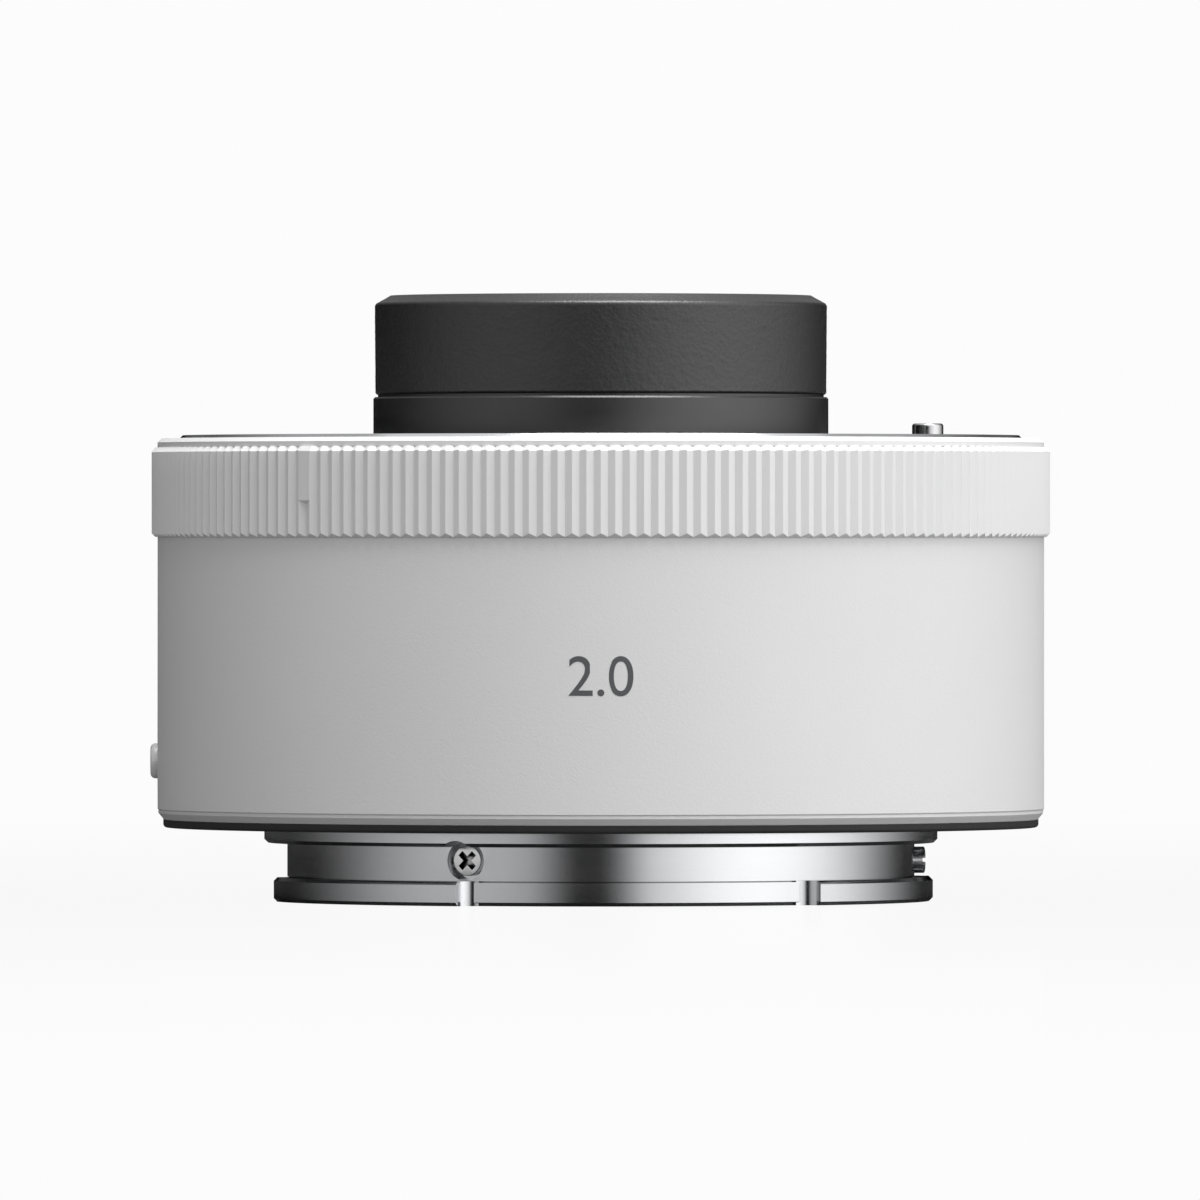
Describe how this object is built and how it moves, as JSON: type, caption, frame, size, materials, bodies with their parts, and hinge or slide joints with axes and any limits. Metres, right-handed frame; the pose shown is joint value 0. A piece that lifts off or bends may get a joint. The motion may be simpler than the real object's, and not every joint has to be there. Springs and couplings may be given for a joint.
{
  "type": "camera teleconverter",
  "caption": "White lens teleconverter: bayonet plug behind, sprung-pin bayonet socket in front round a black nose of glass, knurled grip ring and a release lever.",
  "frame": {"origin": "centre of the rear flange's bearing face, on the optical axis", "axes": "+Z along the optical axis towards the front lens side; -Y is the side that shows in the picture"},
  "size_m": [0.0625, 0.0624, 0.042],
  "materials": {
    "white_paint": "fine matte paint",
    "white_mark": "white paint",
    "black_rubber": "matte",
    "bayonet_chrome": "turned and plated",
    "screw_steel": "plated",
    "pin_steel": "ground",
    "spring_steel": "drawn",
    "bare_aluminium": "machined",
    "black_anodised": "satin black anodised",
    "black_grained": "grained black paint",
    "black_plastic": "matte",
    "contact_gold": "gold plated",
    "optical_glass": "coated and polished",
    "board_green": "solder mask",
    "chip_black": "moulded",
    "flex_amber": "film"
  },
  "bodies": {
    "housing": {"main_shell": "white_paint", "grip_ring": "white_paint", "front_collar": "white_paint", "rear_ring": "white_paint", "rear_index_bump": "white_mark", "front_index_dot": "white_mark", "rear_seal": "black_rubber", "front_mount": "bayonet_chrome", "rear_mount": "bayonet_chrome", "front_mount_screws": "screw_steel", "front_baffle_screws": "screw_steel", "barrel_screws": "screw_steel", "board_screws": "screw_steel", "rear_mount_screws": "screw_steel", "bayonet_screws": "screw_steel", "bayonet_springs": "spring_steel", "lock_pin_spring": "spring_steel", "lever_spring": "spring_steel", "chassis": "bare_aluminium", "lens_barrel": "black_anodised", "front_barrel": "black_anodised", "front_retainer": "black_anodised", "front_spacer": "black_anodised", "middle_spacer": "black_anodised", "rear_spacer": "black_anodised", "rear_retainer": "black_anodised", "nose_cap": "black_grained", "front_baffle": "black_plastic", "contact_block": "black_plastic", "rear_baffle": "black_plastic", "contact_springs": "contact_gold", "rear_contacts": "contact_gold", "element_1": "optical_glass", "element_2": "optical_glass", "element_3": "optical_glass", "element_4": "optical_glass", "element_5": "optical_glass", "element_6": "optical_glass", "element_7": "optical_glass", "element_8": "optical_glass", "circuit_board": "board_green", "board_components": "chip_black", "front_flex": "flex_amber", "rear_flex": "flex_amber"},
    "lock_pin": {"lock_pin": "pin_steel", "lock_peg": "pin_steel"},
    "release_lever": {"release_lever": "white_paint"},
    "contact_pins": {"contact_pins": "contact_gold"}
  },
  "joints": [
    {"name": "lever_swing", "type": "hinge", "parent": "housing", "child": "release_lever", "pos_m": [0, 0, 0.0132], "axis": [0, 0, 1], "range_deg": [-0.2, 5.2], "stiffness_Nm_per_rad": 0.003, "springref_deg": -3.44, "deforming": ["lever_spring"]},
    {"name": "lock_pin_slide", "type": "slide", "parent": "housing", "child": "lock_pin", "axis": [0, 0, 1], "range_m": [-0.0011, 0], "stiffness_N_per_m": 1, "springref_m": 0.007, "deforming": ["lock_pin_spring"]},
    {"name": "contact_press", "type": "slide", "parent": "housing", "child": "contact_pins", "axis": [0, 0, 1], "range_m": [-0.0006, 0], "stiffness_N_per_m": 400, "springref_m": 0.001, "deforming": ["contact_springs"]}
  ],
  "couplings": [
    {"joint": "lever_swing", "follows": "lock_pin_slide", "rad_per_m": -79.333}
  ]
}
